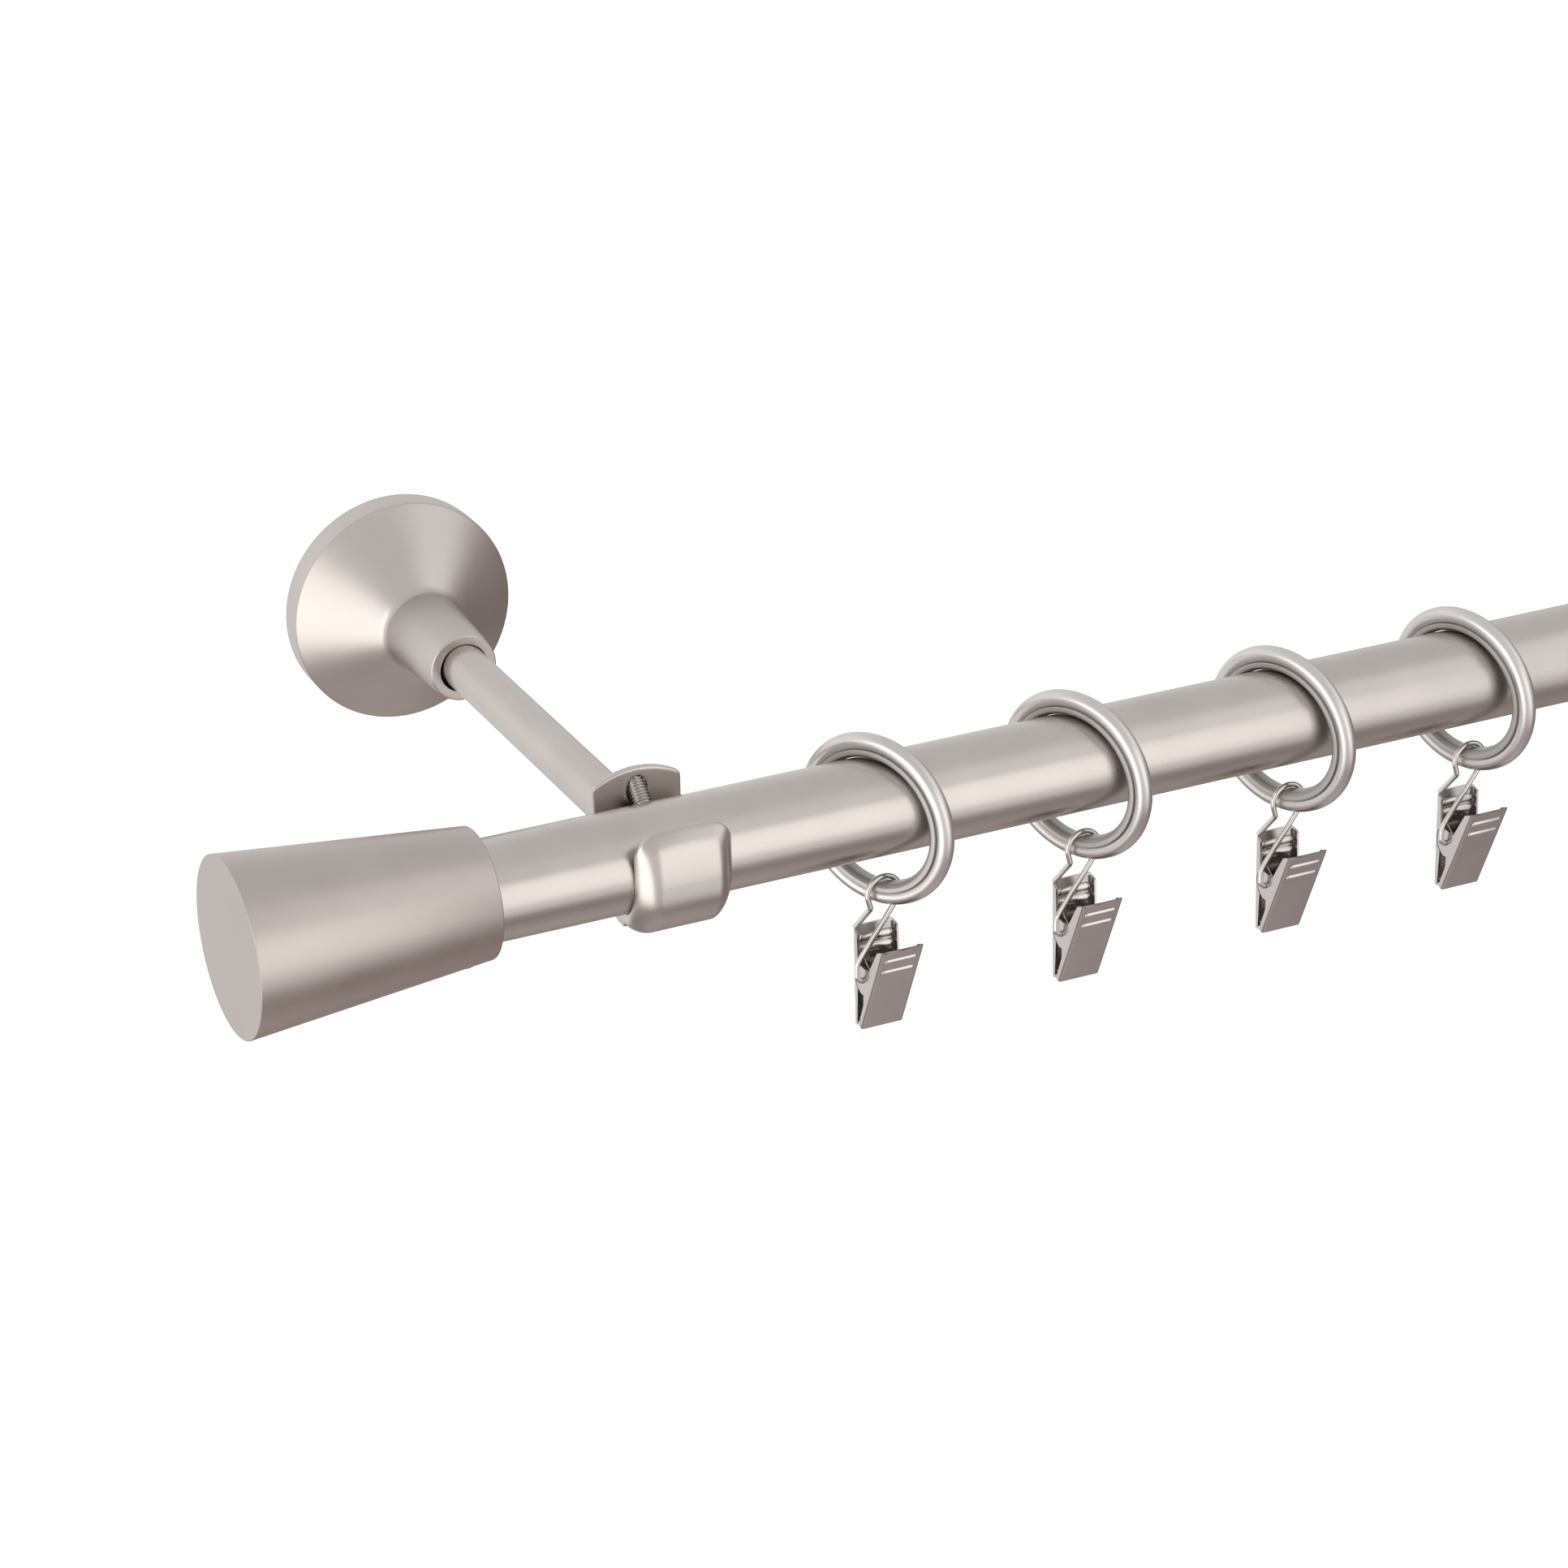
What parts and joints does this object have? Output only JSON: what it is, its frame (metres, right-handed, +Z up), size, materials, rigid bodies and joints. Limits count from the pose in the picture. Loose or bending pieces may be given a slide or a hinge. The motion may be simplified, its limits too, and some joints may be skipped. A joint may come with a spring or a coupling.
{
  "type": "curtain rod set",
  "caption": "Round curtain rod with cone finials, two wall brackets with bell-shaped cups and open cradles, and clip rings that slide along the rod.",
  "frame": {"origin": "middle of the left wall plate's back face, on the axis of the left bracket arm", "axes": "+X along the rod from the left bracket to the right one, +Y into the wall, +Z up"},
  "size_m": [1.2632, 0.1964, 0.0913],
  "materials": {
    "satin_steel": "satin nickel plated",
    "cast_nickel": "satin nickel plated casting",
    "plate_steel": "zinc plated",
    "screw_steel": "bright nickel plated",
    "ring_nickel": "soft polished nickel",
    "liner_plastic": "smooth grey plastic",
    "clip_chrome": "nickel plated sheet and wire",
    "spring_steel": "spring steel"
  },
  "bodies": {
    "rod_set": {"rod_tube": "satin_steel", "left_finial": "satin_steel", "right_finial": "satin_steel", "finial_screws": "screw_steel", "left_wall_plate": "plate_steel", "right_wall_plate": "plate_steel", "left_arm": "satin_steel", "right_arm": "satin_steel", "arm_screws": "screw_steel", "left_cradle": "cast_nickel", "right_cradle": "cast_nickel"},
    "left_cup": {"left_cup": "satin_steel"},
    "right_cup": {"right_cup": "satin_steel"},
    "left_clamp": {"left_clamp_screw": "screw_steel"},
    "right_clamp": {"right_clamp_screw": "screw_steel"},
    "ring_1": {"hoop_1": "ring_nickel", "liner_1": "liner_plastic"},
    "clip_1": {"hook_1": "clip_chrome", "rear_jaw_1": "clip_chrome", "spring_1": "spring_steel"},
    "front_1": {"front_jaw_1": "clip_chrome"},
    "ring_2": {"hoop_2": "ring_nickel", "liner_2": "liner_plastic"},
    "clip_2": {"hook_2": "clip_chrome", "rear_jaw_2": "clip_chrome", "spring_2": "spring_steel"},
    "front_2": {"front_jaw_2": "clip_chrome"},
    "ring_3": {"hoop_3": "ring_nickel", "liner_3": "liner_plastic"},
    "clip_3": {"hook_3": "clip_chrome", "rear_jaw_3": "clip_chrome", "spring_3": "spring_steel"},
    "front_3": {"front_jaw_3": "clip_chrome"},
    "ring_4": {"hoop_4": "ring_nickel", "liner_4": "liner_plastic"},
    "clip_4": {"hook_4": "clip_chrome", "rear_jaw_4": "clip_chrome", "spring_4": "spring_steel"},
    "front_4": {"front_jaw_4": "clip_chrome"},
    "ring_5": {"hoop_5": "ring_nickel", "liner_5": "liner_plastic"},
    "clip_5": {"hook_5": "clip_chrome", "rear_jaw_5": "clip_chrome", "spring_5": "spring_steel"},
    "front_5": {"front_jaw_5": "clip_chrome"},
    "ring_6": {"hoop_6": "ring_nickel", "liner_6": "liner_plastic"},
    "clip_6": {"hook_6": "clip_chrome", "rear_jaw_6": "clip_chrome", "spring_6": "spring_steel"},
    "front_6": {"front_jaw_6": "clip_chrome"},
    "ring_7": {"hoop_7": "ring_nickel", "liner_7": "liner_plastic"},
    "clip_7": {"hook_7": "clip_chrome", "rear_jaw_7": "clip_chrome", "spring_7": "spring_steel"},
    "front_7": {"front_jaw_7": "clip_chrome"}
  },
  "joints": [
    {"name": "left_cup_slide", "type": "slide", "parent": "rod_set", "child": "left_cup", "axis": [0, -1, 0], "range_m": [0, 0.1]},
    {"name": "right_cup_slide", "type": "slide", "parent": "rod_set", "child": "right_cup", "axis": [0, -1, 0], "range_m": [0, 0.1]},
    {"name": "left_clamp_turn_out", "type": "slide", "parent": "rod_set", "child": "left_clamp", "axis": [0, 0.7431, 0.6691], "range_m": [0, 0.004]},
    {"name": "right_clamp_turn_out", "type": "slide", "parent": "rod_set", "child": "right_clamp", "axis": [0, 0.7431, 0.6691], "range_m": [0, 0.004]},
    {"name": "ring_1_slide", "type": "slide", "parent": "rod_set", "child": "ring_1", "axis": [1, 0, 0], "range_m": [-0.03, 0.03]},
    {"name": "clip_1_swing", "type": "hinge", "parent": "ring_1", "child": "clip_1", "pos_m": [0.05894, -0.1758, -0.02379], "axis": [0, 1, 0], "range_deg": [-40, 40]},
    {"name": "clip_1_squeeze", "type": "hinge", "parent": "clip_1", "child": "front_1", "pos_m": [0.05894, -0.1758, -0.04679], "axis": [-1, 0, 0], "range_deg": [0, 25], "stiffness_Nm_per_rad": 0.005, "springref_deg": -57.3, "deforming": ["spring_1"]},
    {"name": "ring_2_slide", "type": "slide", "parent": "rod_set", "child": "ring_2", "axis": [1, 0, 0], "range_m": [-0.03, 0.036]},
    {"name": "clip_2_swing", "type": "hinge", "parent": "ring_2", "child": "clip_2", "pos_m": [0.11492, -0.1758, -0.02391], "axis": [0, 1, 0], "range_deg": [-40, 40]},
    {"name": "clip_2_squeeze", "type": "hinge", "parent": "clip_2", "child": "front_2", "pos_m": [0.11492, -0.1758, -0.04691], "axis": [-1, 0, 0], "range_deg": [0, 25], "stiffness_Nm_per_rad": 0.005, "springref_deg": -57.3, "deforming": ["spring_2"]},
    {"name": "ring_3_slide", "type": "slide", "parent": "rod_set", "child": "ring_3", "axis": [1, 0, 0], "range_m": [-0.036, 0.033]},
    {"name": "clip_3_swing", "type": "hinge", "parent": "ring_3", "child": "clip_3", "pos_m": [0.17478, -0.1758, -0.02396], "axis": [0, 1, 0], "range_deg": [-40, 40]},
    {"name": "clip_3_squeeze", "type": "hinge", "parent": "clip_3", "child": "front_3", "pos_m": [0.17478, -0.1758, -0.04696], "axis": [-1, 0, 0], "range_deg": [0, 25], "stiffness_Nm_per_rad": 0.005, "springref_deg": -57.3, "deforming": ["spring_3"]},
    {"name": "ring_4_slide", "type": "slide", "parent": "rod_set", "child": "ring_4", "axis": [1, 0, 0], "range_m": [-0.033, 0.28]},
    {"name": "clip_4_swing", "type": "hinge", "parent": "ring_4", "child": "clip_4", "pos_m": [0.22984, -0.1758, -0.02397], "axis": [0, 1, 0], "range_deg": [-40, 40]},
    {"name": "clip_4_squeeze", "type": "hinge", "parent": "clip_4", "child": "front_4", "pos_m": [0.22984, -0.1758, -0.04697], "axis": [-1, 0, 0], "range_deg": [0, 25], "stiffness_Nm_per_rad": 0.005, "springref_deg": -57.3, "deforming": ["spring_4"]},
    {"name": "ring_5_slide", "type": "slide", "parent": "rod_set", "child": "ring_5", "axis": [1, 0, 0], "range_m": [-0.03, 0.03]},
    {"name": "clip_5_swing", "type": "hinge", "parent": "ring_5", "child": "clip_5", "pos_m": [0.98746, -0.1758, -0.02379], "axis": [0, 1, 0], "range_deg": [-40, 40]},
    {"name": "clip_5_squeeze", "type": "hinge", "parent": "clip_5", "child": "front_5", "pos_m": [0.98746, -0.1758, -0.04679], "axis": [-1, 0, 0], "range_deg": [0, 25], "stiffness_Nm_per_rad": 0.005, "springref_deg": -57.3, "deforming": ["spring_5"]},
    {"name": "ring_6_slide", "type": "slide", "parent": "rod_set", "child": "ring_6", "axis": [1, 0, 0], "range_m": [-0.036, 0.03]},
    {"name": "clip_6_swing", "type": "hinge", "parent": "ring_6", "child": "clip_6", "pos_m": [0.93148, -0.1758, -0.02391], "axis": [0, 1, 0], "range_deg": [-40, 40]},
    {"name": "clip_6_squeeze", "type": "hinge", "parent": "clip_6", "child": "front_6", "pos_m": [0.93148, -0.1758, -0.04691], "axis": [-1, 0, 0], "range_deg": [0, 25], "stiffness_Nm_per_rad": 0.005, "springref_deg": -57.3, "deforming": ["spring_6"]},
    {"name": "ring_7_slide", "type": "slide", "parent": "rod_set", "child": "ring_7", "axis": [1, 0, 0], "range_m": [-0.28, 0.036]},
    {"name": "clip_7_swing", "type": "hinge", "parent": "ring_7", "child": "clip_7", "pos_m": [0.87162, -0.1758, -0.02396], "axis": [0, 1, 0], "range_deg": [-40, 40]},
    {"name": "clip_7_squeeze", "type": "hinge", "parent": "clip_7", "child": "front_7", "pos_m": [0.87162, -0.1758, -0.04696], "axis": [-1, 0, 0], "range_deg": [0, 25], "stiffness_Nm_per_rad": 0.005, "springref_deg": -57.3, "deforming": ["spring_7"]}
  ]
}
